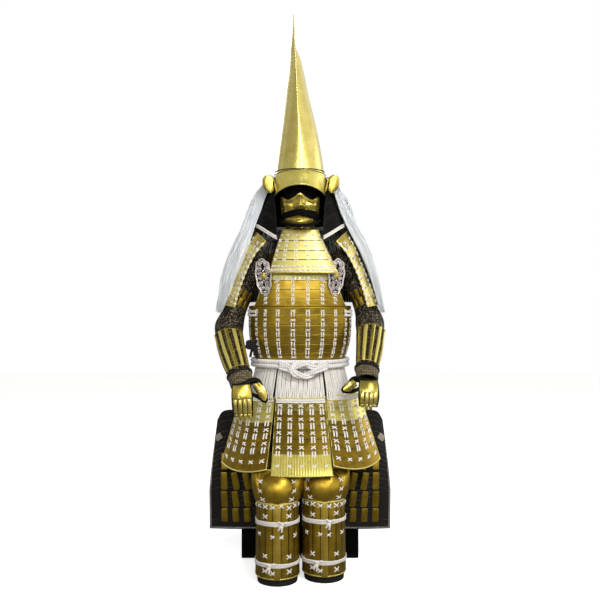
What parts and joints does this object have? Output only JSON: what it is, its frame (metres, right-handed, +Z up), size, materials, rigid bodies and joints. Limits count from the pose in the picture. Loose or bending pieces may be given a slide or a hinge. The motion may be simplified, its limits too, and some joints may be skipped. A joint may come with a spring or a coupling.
{
  "type": "samurai armour on its storage chest and stand",
  "caption": "Gold-lacquered samurai armour with a tall tail-shaped helmet, half mask, laced cuirass, tassets, sleeves, thigh apron and shin guards, set on a black chest and stand.",
  "frame": {"origin": "on the floor under the middle of the torso, inside the underside of the storage chest", "axes": "+Z up; the armour faces -Y; +X is to the right of someone looking at its front"},
  "size_m": [0.666, 0.7145, 2.0542],
  "materials": {
    "gold_lacquer": "glossy gold lacquer over iron and hide",
    "brown_gold_lacquer": "glossy brownish gold lacquer over iron and hide",
    "black_lacquer": "glossy black lacquer",
    "chest_lacquer": "black lacquer on wood",
    "black_cloth": "quilted black cloth",
    "brocade": "brown and gold brocade",
    "white_cord": "white silk braid and rope",
    "white_hair": "straight white hair",
    "silvered_metal": "silvered openwork",
    "plain_wood": "plain planed wood"
  },
  "bodies": {
    "root": {"helmet_crown": "gold_lacquer", "visor": "gold_lacquer", "neck_guard_1": "black_lacquer", "neck_guard_2": "black_lacquer", "neck_guard_3": "black_lacquer", "neck_guard_4": "black_lacquer", "turnback_left": "gold_lacquer", "turnback_right": "gold_lacquer", "hair": "white_hair", "mask": "gold_lacquer", "throat_guard_1": "gold_lacquer", "throat_guard_2": "gold_lacquer", "throat_guard_3": "gold_lacquer", "throat_guard_4": "gold_lacquer", "chin_cord": "black_cloth", "cuirass_front": "brown_gold_lacquer", "cuirass_back": "brown_gold_lacquer", "breast_plate": "brown_gold_lacquer", "back_plate": "brown_gold_lacquer", "shoulder_strap_left": "black_cloth", "chest_ornament_left": "silvered_metal", "shoulder_strap_right": "black_cloth", "chest_ornament_right": "silvered_metal", "belt": "white_cord", "belt_knot": "white_cord", "waist_lacing": "white_cord", "tasset_1": "brown_gold_lacquer", "tasset_2": "brown_gold_lacquer", "tasset_3": "brown_gold_lacquer", "tasset_4": "brown_gold_lacquer", "tasset_5": "brown_gold_lacquer", "tasset_6": "brown_gold_lacquer", "tasset_7": "brown_gold_lacquer", "sleeve_left": "black_cloth", "forearm_guard_left": "gold_lacquer", "cuff_left": "brocade", "hand_plate_left": "gold_lacquer", "thumb_plate_left": "gold_lacquer", "shoulder_guard_left": "gold_lacquer", "sleeve_right": "black_cloth", "forearm_guard_right": "gold_lacquer", "cuff_right": "brocade", "hand_plate_right": "gold_lacquer", "thumb_plate_right": "gold_lacquer", "shoulder_guard_right": "gold_lacquer", "thigh_apron_left": "black_cloth", "gaiter_left": "black_cloth", "greave_left": "brown_gold_lacquer", "knee_guard_left": "brown_gold_lacquer", "upper_tie_left": "white_cord", "lower_tie_left": "white_cord", "thigh_apron_right": "black_cloth", "gaiter_right": "black_cloth", "greave_right": "brown_gold_lacquer", "knee_guard_right": "brown_gold_lacquer", "upper_tie_right": "white_cord", "lower_tie_right": "white_cord", "chest_body": "chest_lacquer", "chest_lid": "chest_lacquer", "stand": "plain_wood"}
  },
  "joints": []
}
